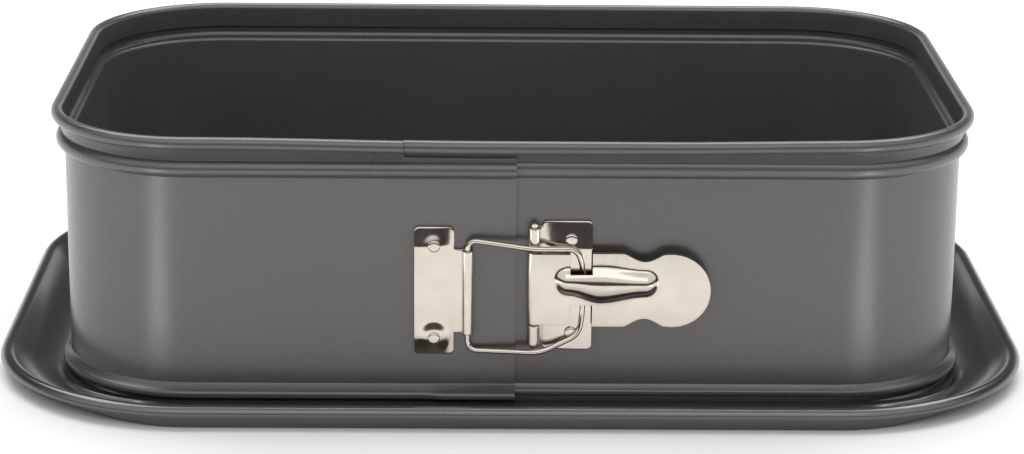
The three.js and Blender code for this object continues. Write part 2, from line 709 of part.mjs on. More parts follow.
place('base_tray', baseTray(), 'tray');
place('band_back', sweepBand(backPath), 'coated');
place('band_left', cut(sweepBand(leftPath), lapTrim(), ...rivets.slice(0, 2).map(rivetHole)), 'coated');
place('band_right', cut(sweepBand(rightPath), ...rivets.slice(2).map(rivetHole)), 'coated');
place('keeper_plate', keeperPlate(), 'nickel');
place('hinge_plate', hingePlate(), 'nickel');
place('hinge_pin', hingePin(), 'nickel');
place('lever', lever(), 'nickel');
place('wire_bail', wireBail(), 'nickel');
rivets.forEach((one) => place(one.name, rivet(one), 'nickel'));

export default part;
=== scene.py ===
import math

import bmesh
import bpy
from mathutils import Matrix, Vector


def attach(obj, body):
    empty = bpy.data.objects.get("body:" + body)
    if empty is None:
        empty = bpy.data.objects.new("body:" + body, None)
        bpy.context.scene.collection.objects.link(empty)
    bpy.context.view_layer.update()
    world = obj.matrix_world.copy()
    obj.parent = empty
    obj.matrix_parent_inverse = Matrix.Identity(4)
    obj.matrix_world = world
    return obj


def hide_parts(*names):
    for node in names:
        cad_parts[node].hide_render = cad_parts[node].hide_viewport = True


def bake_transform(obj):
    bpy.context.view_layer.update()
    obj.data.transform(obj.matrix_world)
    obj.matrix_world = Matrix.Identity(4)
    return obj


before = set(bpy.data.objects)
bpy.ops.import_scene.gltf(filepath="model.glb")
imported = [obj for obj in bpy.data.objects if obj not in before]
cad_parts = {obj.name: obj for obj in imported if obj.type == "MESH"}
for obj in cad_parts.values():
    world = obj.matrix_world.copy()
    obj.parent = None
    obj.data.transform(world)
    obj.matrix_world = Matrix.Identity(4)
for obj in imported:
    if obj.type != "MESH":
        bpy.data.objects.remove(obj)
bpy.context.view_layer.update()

# Sizes are in millimetres, as in the solids. Reach is measured outward from the ring's wall face,
# and so is depth, at the front of the pan. NEAR is the slack when points are told apart by place.
MM = 0.001
NEAR = 0.1

# Ring: the plan of its wall
WALL_X, WALL_Y = 136.2, 86.2
CORNER = 40.0
CORNER_X, CORNER_Y = WALL_X - CORNER, WALL_Y - CORNER
CORNER_STEPS = 28

# Ring: the section of its strip, from the foot to the rim
BAND_SHEET = 0.6
BAND_MIDDLE = -BAND_SHEET / 2
BEAD_LOW, BEAD_HIGH = 2.5, 6.7
BEAD_NOSE_REACH, BEAD_NOSE, BEAD_NOSE_BULGE = 2.2, 3.4, 0.45
BEAD_BROW_REACH, BEAD_BROW, BEAD_BROW_BULGE = 1.6, 4.8, 0.35
RIDGE_LOW, RIDGE_HIGH, RIDGE_RISE, RIDGE_FILLET = 71.1, 75.6, 1.72, 0.9
NECK = 0.5
CURL_FOOT, CURL_LIP, CURL_LIP_GAP = 77.8, 79.0, 0.55
CURL_HEIGHT, CURL_RADIUS, CURL_SIDE, CURL_TUCK = 81.4, 1.5, 0.25, 50
RIM_HEIGHT = 83.2
RING_CREASE = (0.35, 3, 30)

# Ring: its lapped ends
LAP_EDGE, LAP_END, LAP_STEP = 0.5, -32.5, 0.9
LAP_FLATTENING = 0.4
CURL_GAP = 0.12
CURL_SWELL, CURL_SWELL_REACH, CURL_SWELL_END = 0.07, NECK + 0.2, 80.0
BEAD_SWELL, BEAD_SWELL_START, BEAD_SWELL_END = 0.3, -26, -21.5
RIM_SAG, SAG_MIDDLE, SAG_NEAR, SAG_FAR, SAG_BLEND = 0.9, 15, 25, 105, 2.5

# Tray
TRAY_SHEET = 0.8
TRAY_FLOOR, FLOOR_EDGE, FLOOR_BORDER, FLOOR_INSET = 4.2, -2.2, 10, 6
LEDGE, CHANNEL, TROUGH = 1.51, 0.4, 4.2
CRESCENT_REACH = 2.45
LIP_REACH, LIP_HEIGHT, LIP_RADIUS, LIP_SLOPE = 19.3, 4.4, 2.0, 45
LIP_INSIDE = 1.5
SKIRT_FOOT, SKIRT_TUCK = 0.4, 2.4
SKIRT_CORNER_IN, SKIRT_CORNER_UP = 3.6, 0.8
TRAY_CREASE, TRAY_EDGE = (0.3, 4, 20), (0.2, 2, 60)

# Latch: plates, pin and wire
LATCH_Z = 37.7
SHEET = 0.8
PRESSED_SHEET = SHEET - 0.1
PLATE_GAP, PLATE_CORNER, PLATE_ROWS, PLATE_EDGE = 0.2, 1.4, 76, (0.18, 2, 60)
PLATE_ROLL, ROLL_STEPS = 300, 30
PIN_X, PIN_DEPTH, PIN_RADIUS, KNUCKLE = 5.9, 1.3, 1.05, 2.0
PIN_LOW, PIN_HIGH, PIN_CHAMFER = 18.7, 57.5, 0.3
KEEPER_X, KEEPER_DEPTH = -13.65, 2.0
KEEPER_BOW, KEEPER_SLOPE = 1.2, 5.6
HINGE_BOW, HINGE_SLOPE = 1.5, 8.0
KEEPER_RIVET_X, KEEPER_RIVET_LOW, KEEPER_RIVET_HIGH = -23.6, 22.1, 50.5
HINGE_RIVET_X, HINGE_RIVET_LOW, HINGE_RIVET_HIGH = 16.8, 23.8, 52.4
RIVET_HEAD, RIVET_RISE, RIVET_SHANK, RIVET_SEAT = 1.85, 0.7, 1.2, 1.12
WIRE_RADIUS = 0.85
WIRE_BEND, WIRE_BEND_SHARE = 3.2, 2.2

# Latch: the lever, along from its pin
PLATE_END, NOTCH_END, WING_END = 10.6, 17.2, 26.4
PLATE_HALF, NECK_HALF, WING_HALF, WAIST_HALF = 11.1, 4.8, 11.45, 8.9
LEVER_LENGTH, THUMB = 52.0, 11.4
THUMB_AT = LEVER_LENGTH - THUMB
THUMB_SHOULDER, THUMB_LIFT = 0.16, 1.2
WAIST_POWER = 1.3
LEVER_CROWN, LEVER_ROLL, LEVER_EDGE = 0.3, 290, (0.2, 3, 60)
CORE_SHARE, CORE_BLEND_START, CORE_BLEND_END = 0.42, 20, 34
KEEL_RISE, KEEL_SOFTNESS = 2.2, 0.02
# Place along the lever, half width and height of the middle: at the keel's dome, its widest and its tip
KEEL_DOME, KEEL_WIDE, KEEL_TIP = (10.2, 3.9, 2.4), (19.5, 5.3, 1.4), (32.6, 3.7, 1.8)

SHARP_EDGE = 38

# Studio, in metres and watts
FLOOR_WIDE, FLOOR_NEAR, FLOOR_FAR, FLOOR_HEIGHT = 4.0, -0.38, 4.0, -0.0003
STRIP_WIDE, STRIP_LONG, STRIP_HEIGHT, STRIP_POWER = 0.03, 0.19, 0.004, 0.04
ROOM_LIGHT = 0.7

# Camera: the photo's width and focal length in pixels, the sensor in millimetres, the place in metres
# and the angles in radians
PHOTO_WIDE, PHOTO_FOCUS = 1024, 3013
SENSOR = 36.0
VIEW_PLACE = (-0.01368, -0.93262, 0.31469)
VIEW_YAW, VIEW_PITCH, VIEW_ROLL = 0.0153, 0.2967, 0.0101


# Shader graphs

class Value:
    """A socket that takes part in Python expressions."""

    def __init__(self, graph, socket):
        self.graph = graph
        self.socket = socket

    def _math(self, operation, other):
        return self.graph.node("ShaderNodeMath", {"operation": operation}, {0: self, 1: other})

    def __add__(self, other):
        return self._math("ADD", other)

    def __mul__(self, other):
        return self._math("MULTIPLY", other)


class Graph:
    """The node tree of one material or of the world."""

    def __init__(self, owner):
        owner.use_nodes = True
        self.tree = owner.node_tree
        self.tree.nodes.clear()

    def node(self, kind, settings=None, inputs=None, output=0):
        made = self.tree.nodes.new(kind)
        for name, value in (settings or {}).items():
            if name == "stops":
                ramp = made.color_ramp.elements
                ramp[0].position, ramp[0].color = value[0]
                ramp[1].position, ramp[1].color = value[-1]
                for position, color in value[1:-1]:
                    ramp.new(position).color = color
            else:
                setattr(made, name, value)
        for key, value in (inputs or {}).items():
            if isinstance(value, Value):
                self.tree.links.new(value.socket, made.inputs[key])
            else:
                made.inputs[key].default_value = value
        return Value(self, made.outputs[output]) if made.outputs else None

    def noise(self, scale, detail=3.0, roughness=0.5, stretch=(1, 1, 1)):
        place = self.node("ShaderNodeTexCoord", output="Object")
        spread = self.node("ShaderNodeMapping", {}, {"Vector": place, "Scale": stretch})
        return self.node("ShaderNodeTexNoise", {}, {
            "Vector": spread, "Scale": scale, "Detail": detail, "Roughness": roughness})

    def between(self, factor, low, high):
        return self.node("ShaderNodeMix", {"data_type": "RGBA"}, {
            0: factor, 6: (*low, 1), 7: (*high, 1)}, output=2)

    def bump(self, height, strength, distance):
        return self.node("ShaderNodeBump", {}, {
            "Height": height, "Strength": strength, "Distance": distance})

    def surface(self, shader):
        self.node("ShaderNodeOutputMaterial", {}, {"Surface": shader})


# Materials

def coated_steel(name, low, high, gloss, metallic):
    """Satin non-stick coating: fine flakes, faint orange peel and cloudy gloss."""
    material = bpy.data.materials.new(name)
    graph = Graph(material)
    flakes = graph.noise(2600.0, 2.0, 0.6)
    clouds = graph.noise(22.0, 3.0, 0.55)
    peel = graph.noise(700.0, 2.0, 0.5)
    shade = flakes * 0.7 + clouds * 0.3
    graph.surface(graph.node("ShaderNodeBsdfPrincipled", {}, {
        "Base Color": graph.between(shade, low, high),
        "Metallic": metallic,
        "Roughness": clouds * 0.1 + flakes * 0.06 + gloss,
        "Specular IOR Level": 0.85,
        "Normal": graph.bump(peel * 0.6 + flakes * 0.4, 0.12, 0.00012),
    }))
    return material


def nickel_plate(name):
    """Bright nickel on pressed steel: soft ripples, fine handling marks and a slightly warm shade."""
    material = bpy.data.materials.new(name)
    graph = Graph(material)
    ripple = graph.noise(160.0, 2.0, 0.5)
    marks = graph.noise(900.0, 3.0, 0.6, (1.0, 1.0, 0.12))
    graph.surface(graph.node("ShaderNodeBsdfPrincipled", {}, {
        "Base Color": graph.between(ripple, (0.56, 0.505, 0.435), (0.68, 0.628, 0.555)),
        "Metallic": 1.0,
        "Roughness": marks * 0.1 + 0.08,
        "Normal": graph.bump(ripple * 0.8 + marks * 0.2, 0.16, 0.0003),
    }))
    return material


RING_COATING = coated_steel("ring_coating", (0.088, 0.083, 0.081), (0.132, 0.125, 0.121), 0.2, 0.38)
TRAY_COATING = coated_steel("tray_coating", (0.115, 0.113, 0.111), (0.172, 0.169, 0.166), 0.15, 0.76)
NICKEL = nickel_plate("nickel")


# Sheet sections and sweeps

class Section:
    """A line of edges drawn by one travelling vertex, in reach and height."""

    def __init__(self, place, reach, height):
        self.mesh = bmesh.new()
        self.place = place
        self.tip = self.mesh.verts.new(place(reach, height))

    def line(self, reach, height):
        step = bmesh.ops.extrude_vert_indiv(self.mesh, verts=[self.tip])
        self.tip = step["verts"][0]
        self.tip.co = self.place(reach, height)

    def arc(self, reach, height, degrees, steps):
        """Turns the tip round this point."""
        centre = Vector(self.place(reach, height))
        across = Vector(self.place(reach + 1, height)) - centre
        up = Vector(self.place(reach, height + 1)) - centre
        turn = bmesh.ops.spin(self.mesh, geom=[self.tip], cent=centre, axis=across.cross(up),
                              angle=math.radians(degrees), steps=steps, use_duplicate=False)
        self.tip = [v for v in turn["geom_last"] if isinstance(v, bmesh.types.BMVert)][0]

    def bulge(self, reach, height, rise, steps):
        """A round bulge from the tip to this point, standing out by the rise."""
        start = Vector((self.reach_of(self.tip), self.tip.co.z))
        end = Vector((reach, height))
        chord = end - start
        outward = Vector((chord.y, -chord.x)).normalized()
        radius = (chord.length_squared / 4 + rise * rise) / (2 * rise)
        centre = (start + end) / 2 + outward * (rise - radius)
        half = math.degrees(math.asin(min(1.0, chord.length / 2 / radius)))
        sweep = 2 * (half if rise <= radius else 180 - half)
        self.arc(centre.x, centre.y, sweep, steps)

    def reach_of(self, vertex):
        low = Vector(self.place(0, 0))
        across = Vector(self.place(1, 0)) - low
        return (vertex.co - low).dot(across)


class Sweep:
    """Carries the edges of a section along straights and round corners."""

    def __init__(self, mesh, edges=None):
        self.mesh = mesh
        self.edges = list(mesh.edges) if edges is None else edges

    def straight(self, offset, cuts):
        for _ in range(cuts):
            made = bmesh.ops.extrude_edge_only(self.mesh, edges=self.edges)["geom"]
            verts = [g for g in made if isinstance(g, bmesh.types.BMVert)]
            moved = set(verts)
            self.edges = [g for g in made if isinstance(g, bmesh.types.BMEdge)
                          and all(v in moved for v in g.verts)]
            bmesh.ops.translate(self.mesh, verts=verts, vec=Vector(offset) / cuts)

    def corner(self, centre, degrees, steps):
        verts = list({v for e in self.edges for v in e.verts})
        turn = bmesh.ops.spin(self.mesh, geom=verts + self.edges, cent=centre, axis=(0, 0, 1),
                              angle=math.radians(degrees), steps=steps, use_duplicate=False)
        self.edges = [g for g in turn["geom_last"] if isinstance(g, bmesh.types.BMEdge)]


def rear_section(reach, height):
    """A section at the middle of the rear wall, begun at this reach and height."""
    return Section(lambda out, up: (0, WALL_Y + out, up), reach, height)


def smooth_step(low, high, value):
    """Runs from none at low to one at high, which may be the smaller of the two."""
    share = min(1.0, max(0.0, (value - low) / (high - low)))
    return share * share * (3 - 2 * share)


def add_bevel(piece, name, width, segments, degrees):
    bevel = piece.modifiers.new(name, "BEVEL")
    bevel.width = width * MM
    bevel.segments = segments
    bevel.limit_method = "ANGLE"
    bevel.angle_limit = math.radians(degrees)
    bevel.use_clamp_overlap = True


def finish_piece(name, mesh, material, sheet=0.0, crease=None, edge=None, outward=None):
    """Turns a bmesh in millimetres into a finished object, with its modifiers applied."""
    bmesh.ops.remove_doubles(mesh, verts=mesh.verts, dist=1e-4)
    bmesh.ops.recalc_face_normals(mesh, faces=mesh.faces)
    if outward is not None and sum(f.normal.dot(outward) for f in mesh.faces) < 0:
        bmesh.ops.reverse_faces(mesh, faces=mesh.faces)
    bmesh.ops.scale(mesh, vec=(MM, MM, MM), verts=mesh.verts)
    data = bpy.data.meshes.new(name)
    mesh.to_mesh(data)
    mesh.free()
    piece = bpy.data.objects.new(name, data)
    bpy.context.collection.objects.link(piece)
    if crease:
        add_bevel(piece, "crease", *crease)
    if sheet:
        wall = piece.modifiers.new("sheet", "SOLIDIFY")
        wall.thickness = sheet * MM
        wall.offset = 0.0
        wall.use_even_offset = True
        wall.use_quality_normals = True
    if edge:
        add_bevel(piece, "edge", *edge)
    applied = bpy.data.meshes.new_from_object(
        piece.evaluated_get(bpy.context.evaluated_depsgraph_get()))
    piece.modifiers.clear()
    piece.data = applied
    applied.shade_smooth()
    applied.set_sharp_from_angle(angle=math.radians(SHARP_EDGE))
    applied.materials.clear()
    applied.materials.append(material)
    return piece


def plan_place(point):
    """Outward direction and reach of a point, from the wall's plan."""
    dx = point.x - max(-CORNER_X, min(CORNER_X, point.x))
    dy = point.y - max(-CORNER_Y, min(CORNER_Y, point.y))
    flat = Vector((dx, dy, 0))
    return flat.normalized(), flat.length - CORNER


# Ring

def ring_section():
    """The strip's profile at the middle of the rear wall, from its foot to the end of its curl."""
    section = rear_section(BAND_MIDDLE, BEAD_LOW)
    section.bulge(BEAD_NOSE_REACH, BEAD_NOSE, BEAD_NOSE_BULGE, steps=8)
    section.bulge(BEAD_BROW_REACH, BEAD_BROW, BEAD_BROW_BULGE, steps=8)
    section.line(BAND_MIDDLE, BEAD_HIGH)
    section.line(BAND_MIDDLE, (BEAD_HIGH + RIDGE_LOW) / 2)
    section.line(BAND_MIDDLE, RIDGE_LOW - RIDGE_FILLET)
    section.arc(BAND_MIDDLE + RIDGE_FILLET, RIDGE_LOW - RIDGE_FILLET, -90, steps=6)
    section.bulge(NECK, RIDGE_HIGH, RIDGE_RISE, steps=14)
    section.line(NECK, CURL_HEIGHT)
    section.arc(NECK + CURL_RADIUS, CURL_HEIGHT, -180, steps=16)
    section.line(NECK + 2 * CURL_RADIUS, CURL_HEIGHT - CURL_SIDE)
    section.arc(NECK + CURL_RADIUS, CURL_HEIGHT - CURL_SIDE, -CURL_TUCK, steps=6)
    section.line(NECK + CURL_LIP_GAP, CURL_LIP)
    return section.mesh


def profile_base(height):
    """The straight line under the bead and the ridge, from the wall to the neck."""
    share = min(1.0, max(0.0, (height - RIDGE_LOW) / (RIDGE_HIGH - RIDGE_LOW)))
    return BAND_MIDDLE + share * (NECK - BAND_MIDDLE)


def ring_half(side):
    """One half of the strip, swept from the middle of the rear to its lapped end at the front."""
    end = LAP_EDGE if side < 0 else LAP_END
    sweep = Sweep(ring_section())
    sweep.straight((side * CORNER_X, 0, 0), cuts=6)
    sweep.corner((side * CORNER_X, CORNER_Y, 0), -90 * side, CORNER_STEPS)
    sweep.straight((0, -2 * CORNER_Y, 0), cuts=4)
    sweep.corner((side * CORNER_X, -CORNER_Y, 0), -90 * side, CORNER_STEPS)
    sweep.straight((end - side * CORNER_X, 0, 0), cuts=60)
    return sweep.mesh


def tuck_inner_end(mesh):
    """Draws the right end inward, flattens its bulges and swells its curl over the lap."""
    for vertex in mesh.verts:
        if vertex.co.y > -CORNER_Y:
            continue
        out, reach = plan_place(vertex.co)
        share = 1.0
        if vertex.co.x > CORNER_X:
            share = math.atan2(-CORNER_Y - vertex.co.y, vertex.co.x - CORNER_X) / (math.pi / 2)
        height = vertex.co.z
        drawn, lift = reach, 0.0
        if height < RIDGE_HIGH + NEAR:
            base = profile_base(height)
            drawn = base + (reach - base) * (1 - LAP_FLATTENING * share)
            lift = LAP_STEP * share * (1 - smooth_step(BEAD_LOW, BEAD_HIGH, height))
        elif reach > CURL_SWELL_REACH:
            swell = share * (1 - smooth_step(LAP_EDGE, CURL_SWELL_END, vertex.co.x))
            lift = -(RIM_HEIGHT - height) * CURL_SWELL * swell
        vertex.co += out * (drawn - LAP_STEP * share - reach)
        vertex.co.z += lift


def trim_outer_end(mesh):
    """Cuts the left end's curl away along the lap and swells its bead over the right end's."""
    def faces_past(x):
        return [f for f in mesh.faces
                if f.calc_center_median().y < 0 and f.calc_center_median().x > x]

    def cut(faces, point, normal):
        around = {v for f in faces for v in f.verts} | {e for f in faces for e in f.edges}
        bmesh.ops.bisect_plane(mesh, geom=list(around) + faces, plane_co=point, plane_no=normal)

    start = LAP_END - CURL_GAP
    margin = 4
    cut(faces_past(start - margin), (start, 0, 0), (1, 0, 0))
    cut(faces_past(start), (0, 0, CURL_FOOT), (0, 0, 1))
    spare = [f for f in faces_past(start) if f.calc_center_median().z > CURL_FOOT]
    bmesh.ops.delete(mesh, geom=spare, context="FACES")
    for vertex in mesh.verts:
        if vertex.co.y > 0 or abs(vertex.co.x) > CORNER_X:
            continue
        out, reach = plan_place(vertex.co)
        if vertex.co.z < BEAD_HIGH + NEAR:
            swell = smooth_step(BEAD_SWELL_START, BEAD_SWELL_END, vertex.co.x)
            vertex.co += out * ((reach - BAND_MIDDLE) * BEAD_SWELL * swell)


def sag_rim(mesh):
    """Lets the rim hang a little over the latch, where its ends only lap."""
    for vertex in mesh.verts:
        if vertex.co.y < -CORNER_Y:
            middle = 1 - smooth_step(SAG_NEAR, SAG_FAR, abs(vertex.co.x - SAG_MIDDLE))
            above = smooth_step(RIDGE_HIGH, RIDGE_HIGH + SAG_BLEND, vertex.co.z)
            vertex.co.z -= RIM_SAG * middle * above


def ring():
    left_mesh = ring_half(-1)
    trim_outer_end(left_mesh)
    right_mesh = ring_half(1)
    tuck_inner_end(right_mesh)
    halves = []
    for name, mesh in (("ring_left_half", left_mesh), ("ring_right_half", right_mesh)):
        sag_rim(mesh)
        halves.append(finish_piece(name, mesh, RING_COATING, BAND_SHEET, RING_CREASE))
    left, right = halves
    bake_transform(left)
    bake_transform(right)
    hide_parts("band_left", "band_back")
    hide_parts("band_right")


# Tray

def tray_points():
    """The tray's section past the ring's foot: reach and height along the straights, and how far each
    point moves outward and upward in the middle of a corner, where the ledge is squared out into a
    crescent with a groove behind it."""
    points = [
        (0.1, LEDGE, 0.0, 0.0),
        (0.5, LEDGE, 0.3, -1.1),
        (1.1, LEDGE - 0.06, 3.5, -1.04),
        (2.6, LEDGE - 0.41, 3.5, 0.71),
        (TROUGH, CHANNEL + 0.32, CRESCENT_REACH, -0.32),
    ]
    slope = math.radians(LIP_SLOPE)
    top_reach = LIP_REACH - LIP_RADIUS * math.sin(slope)
    top_height = LIP_HEIGHT + LIP_RADIUS * math.cos(slope)
    for share in (0.15, 0.3, 0.42, 0.53, 0.63, 0.72, 0.8, 0.87, 0.94, 1.0):
        reach = TROUGH + (top_reach - TROUGH) * share
        height = CHANNEL + (top_height - CHANNEL) * share ** 3
        points.append((reach, height, CRESCENT_REACH * (1 - share), 0.0))
    return points


def tray_section(points):
    """The tray's profile at the middle of the rear, from its floor over the lip to the skirt's foot."""
    section = rear_section(FLOOR_EDGE - FLOOR_BORDER, TRAY_FLOOR)
    section.line(FLOOR_EDGE, TRAY_FLOOR)
    section.line(FLOOR_EDGE, LEDGE)
    for reach, height, _, _ in points:
        section.line(reach, height)
    section.arc(LIP_REACH, LIP_HEIGHT, -90 - LIP_SLOPE, steps=16)
    for share in (0.25, 0.5, 0.75, 1.0):
        section.line(LIP_REACH + LIP_RADIUS - SKIRT_TUCK * share,
                     LIP_HEIGHT + (SKIRT_FOOT - LIP_HEIGHT) * share)
    return section.mesh


def corner_share(point):
    """None at a corner's ends and one at its middle, round the plan."""
    across, along = abs(point.x) - CORNER_X, abs(point.y) - CORNER_Y
    if across <= 0 or along <= 0:
        return 0.0
    return math.sin(2 * math.atan2(along, across)) ** 2


def shape_corners(mesh, points):
    """Moves the section's points at the corners and tucks the skirt in under the lip there."""
    for vertex in mesh.verts:
        share = corner_share(vertex.co)
        out, reach = plan_place(vertex.co)
        if reach > LIP_REACH - LIP_INSIDE and vertex.co.z < LIP_HEIGHT:
            low = share * (LIP_HEIGHT - vertex.co.z) / (LIP_HEIGHT - SKIRT_FOOT)
            vertex.co -= out * (SKIRT_CORNER_IN * low)
            vertex.co.z += SKIRT_CORNER_UP * low
        for place, _, outward, upward in points:
            if abs(reach - place) < NEAR:
                vertex.co += out * (outward * share)
                vertex.co.z += upward * share


def tray():
    points = tray_points()
    sweep = Sweep(tray_section(points))
    sweep.straight((CORNER_X, 0, 0), cuts=2)
    for sx, sy, travel in (
        (1, 1, (0, -2 * CORNER_Y, 0)),
        (1, -1, (-2 * CORNER_X, 0, 0)),
        (-1, -1, (0, 2 * CORNER_Y, 0)),
        (-1, 1, (CORNER_X, 0, 0)),
    ):
        sweep.corner((sx * CORNER_X, sy * CORNER_Y, 0), -90, CORNER_STEPS)
        sweep.straight(travel, cuts=4)
    mesh = sweep.mesh
    bmesh.ops.remove_doubles(mesh, verts=mesh.verts, dist=1e-3)
    shape_corners(mesh, points)
    inner = [e for e in mesh.edges
             if e.is_boundary and all(v.co.z > TRAY_FLOOR - NEAR for v in e.verts)]
    panel = bmesh.ops.edgeloop_fill(mesh, edges=inner)["faces"]
    bmesh.ops.inset_region(mesh, faces=panel, thickness=FLOOR_INSET, use_even_offset=True)
    piece = finish_piece("drip_tray", mesh, TRAY_COATING,
                         TRAY_SHEET, TRAY_CREASE, TRAY_EDGE, outward=Vector((0, 0, 1)))
    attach(piece, "tray")
    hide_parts("base_tray")


# Latch plates

TOWARD_FRONT = Vector((0, -1, 0))


def front(x, depth, z):
    """A point on the front of the pan, by its depth outward from the wall face."""
    return Vector((x, -WALL_Y - depth, z))


def plate_grid(left, right, bottom, top, depth, columns):
    """A flat plate as a grid with its corners drawn round."""
    mesh = bmesh.new()
    bmesh.ops.create_grid(mesh, x_segments=columns, y_segments=PLATE_ROWS, size=0.5)
    wide, tall = right - left, top - bottom
    for vertex in mesh.verts:
        x, z = vertex.co.x * wide, vertex.co.y * tall
        dx = max(0.0, abs(x) - (wide / 2 - PLATE_CORNER))
        dz = max(0.0, abs(z) - (tall / 2 - PLATE_CORNER))
        if dx > 0 and dz > 0:
            shrink = max(dx, dz) / math.hypot(dx, dz)
            x -= math.copysign(dx * (1 - shrink), x)
            z -= math.copysign(dz * (1 - shrink), z)
        vertex.co = front((left + right) / 2 + x, depth, (bottom + top) / 2 + z)
    return mesh


def press(mesh, x, z, reach, rise):
    """Raises a round boss on the plate, flat in its middle third."""
    flat = 0.35
    for vertex in mesh.verts:
        away = math.hypot(vertex.co.x - x, vertex.co.z - z) / reach
        if away < 1:
            vertex.co.y -= rise * (1 - smooth_step(flat, 1.0, away))


def bow(mesh, ends, edge, rolled, rise, length):
    """Lifts a plate off the wall, with these ends sloped back and its rolled edge left in place."""
    for vertex in mesh.verts:
        end = min(abs(vertex.co.z - z) for z in ends)
        share = min(1.0, abs(vertex.co.x - edge) / abs(rolled - edge))
        vertex.co.y -= rise * min(1.0, end / length) * (1 - share ** 3)


def edge_run(mesh, x, low, high):
    """The edges of a plate's upright side at x, between two heights."""
    return [e for e in mesh.edges if e.is_boundary
            and all(abs(v.co.x - x) < 1e-3 and low - 1e-3 < v.co.z < high + 1e-3 for v in e.verts)]


def roll_edges(mesh, edges, straight, centre, degrees):
    """Draws some edges of a plate out straight and rolls them round a vertical axis."""
    sweep = Sweep(mesh, edges)
    sweep.straight(straight, cuts=4)
    sweep.corner(centre, degrees, ROLL_STEPS)


def keeper():
    left, right, bottom, top = -29.45, -17.75, 16.6, 56.0
    barrel_low, barrel_high = 23.1, 49.5
    mesh = plate_grid(left, right, bottom, top, PLATE_GAP + SHEET / 2, columns=24)
    edges = edge_run(mesh, right, barrel_low, barrel_high)
    bow(mesh, (bottom, top), left, right, KEEPER_BOW, KEEPER_SLOPE)
    press(mesh, KEEPER_RIVET_X, KEEPER_RIVET_LOW, reach=5.4, rise=0.5)
    press(mesh, KEEPER_RIVET_X, KEEPER_RIVET_HIGH, reach=3.6, rise=0.2)
    roll_edges(mesh, edges, (KEEPER_X - right, 0, 0), front(KEEPER_X, KEEPER_DEPTH, 0), -PLATE_ROLL)
    piece = finish_piece("keeper", mesh, NICKEL,
                         PRESSED_SHEET, None, PLATE_EDGE, TOWARD_FRONT)
    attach(piece, "left_end")
    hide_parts("keeper_plate")


def hinge_leaf():
    left, right, bottom, top = 8.25, 23.1, 18.4, 57.8
    knuckles = ((19.2, 26.3), (49.1, 57.0))
    mesh = plate_grid(left, right, bottom, top, PLATE_GAP - LAP_STEP + SHEET / 2, columns=28)
    runs = [edge_run(mesh, left, low, high) for low, high in knuckles]
    bow(mesh, (top,), right, left, HINGE_BOW, HINGE_SLOPE)
    for edges in runs:
        roll_edges(mesh, edges, (PIN_X - left, 0, 0), front(PIN_X, PIN_DEPTH, 0), PLATE_ROLL)
    piece = finish_piece("hinge_leaf", mesh, NICKEL,
                         PRESSED_SHEET, None, PLATE_EDGE, TOWARD_FRONT)
    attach(piece, "right_end")
    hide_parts("hinge_plate")


# Rivets and pin

def turned(name, profile, place, body, node):
    """A small turned piece from its [radius, length] profile, with its axis along Z before it is placed."""
    section = Section(lambda reach, height: (reach, 0, height), *profile[0])
    for radius, length in profile[1:]:
        section.line(radius, length)
    mesh = section.mesh
    bmesh.ops.spin(mesh, geom=list(mesh.verts) + list(mesh.edges), cent=(0, 0, 0), axis=(0, 0, 1),
                   angle=math.tau, steps=32, use_merge=True, use_duplicate=False)
    bmesh.ops.remove_doubles(mesh, verts=mesh.verts, dist=1e-4)
    bmesh.ops.transform(mesh, matrix=place, verts=mesh.verts)
    piece = finish_piece(name, mesh, NICKEL)
    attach(piece, body)
    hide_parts(node)


def rivet(node, x, z, wall, stand, body):
    """A flat round head with its shank. The stand is how far the plate under it is bowed off the wall."""
    seat = RIVET_SEAT + stand
    end, shoulder, rim, rim_drop, flatness = -0.6, 0.2, 1.75, 0.1, 0.3
    profile = [(0, end), (RIVET_SHANK, end), (RIVET_SHANK, seat - shoulder), (rim, seat - rim_drop)]
    for degrees in range(0, 90, 10):
        turn = math.radians(degrees)
        profile.append((RIVET_HEAD * math.cos(turn) ** flatness, seat + RIVET_RISE * math.sin(turn)))
    profile.append((0, seat + RIVET_RISE))
    place = Matrix.Translation(front(x, wall, z)) @ Matrix.Rotation(math.radians(90), 4, "X")
    turned("rivet_" + node.replace("_rivet", ""), profile, place, body, node)


def rivets_and_pin():
    rivet("keeper_rivet_upper", KEEPER_RIVET_X, KEEPER_RIVET_HIGH, 0.0, 1.1, "left_end")
    rivet("keeper_rivet_lower", KEEPER_RIVET_X, KEEPER_RIVET_LOW, 0.0, 1.4, "left_end")
    rivet("hinge_rivet_upper", HINGE_RIVET_X, HINGE_RIVET_HIGH, -LAP_STEP, 0.9, "right_end")
    rivet("hinge_rivet_lower", HINGE_RIVET_X, HINGE_RIVET_LOW, -LAP_STEP, 1.3, "right_end")
    profile = [
        (0, PIN_LOW),
        (PIN_RADIUS - PIN_CHAMFER, PIN_LOW),
        (PIN_RADIUS, PIN_LOW + PIN_CHAMFER),
        (PIN_RADIUS, PIN_HIGH - PIN_CHAMFER),
        (PIN_RADIUS - PIN_CHAMFER, PIN_HIGH),
        (0, PIN_HIGH),
    ]
    turned("pin", profile, Matrix.Translation(front(PIN_X, PIN_DEPTH, 0)), "right_end", "hinge_pin")


# Lever: a grid drawn to the pressed outline, notched, embossed and rolled round the pin

def lever_half_height(along):
    if along <= PLATE_END + 1e-6:
        return PLATE_HALF
    if along <= WING_END:
        return WING_HALF
    shoulder = THUMB_AT - THUMB * THUMB_SHOULDER
    if along <= shoulder:
        share = (along - WING_END) / (shoulder - WING_END)
        return WING_HALF - (WING_HALF - WAIST_HALF) * math.sin(math.pi * share) ** WAIST_POWER
    return math.sqrt(max(0.0, THUMB ** 2 - (along - THUMB_AT) ** 2))


